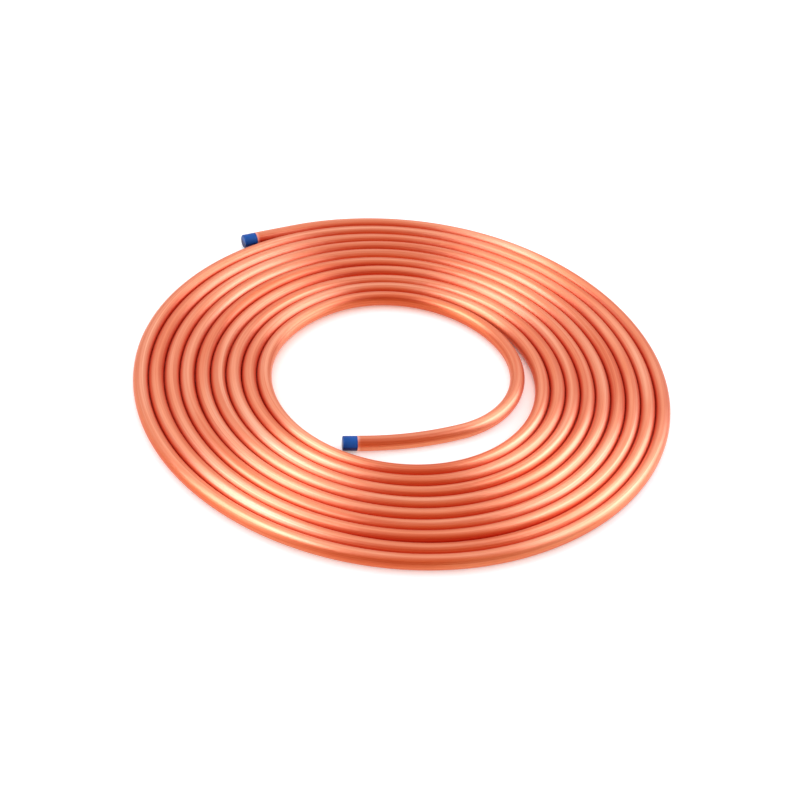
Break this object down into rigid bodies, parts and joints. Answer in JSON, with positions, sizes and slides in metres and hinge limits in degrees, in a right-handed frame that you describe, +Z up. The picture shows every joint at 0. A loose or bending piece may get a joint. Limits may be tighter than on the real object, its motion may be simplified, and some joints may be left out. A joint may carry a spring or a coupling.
{
  "type": "copper tube coil",
  "caption": "Flat spiral coil of soft copper tube, lying on the floor, with a free tail curled into its bore and a plastic cap pushed into each end.",
  "frame": {"origin": "on the floor under the coil, in the middle of its outline", "axes": "+Z up, square to the plane of the coil; -Y towards the side that the tail's cap lies on; +X right"},
  "size_m": [0.6845, 0.6978, 0.019],
  "materials": {
    "copper": "gloss",
    "cap_plastic": "satin"
  },
  "bodies": {
    "root": {"copper_tube": "copper", "outer_cap": "cap_plastic", "inner_cap": "cap_plastic"}
  },
  "joints": []
}
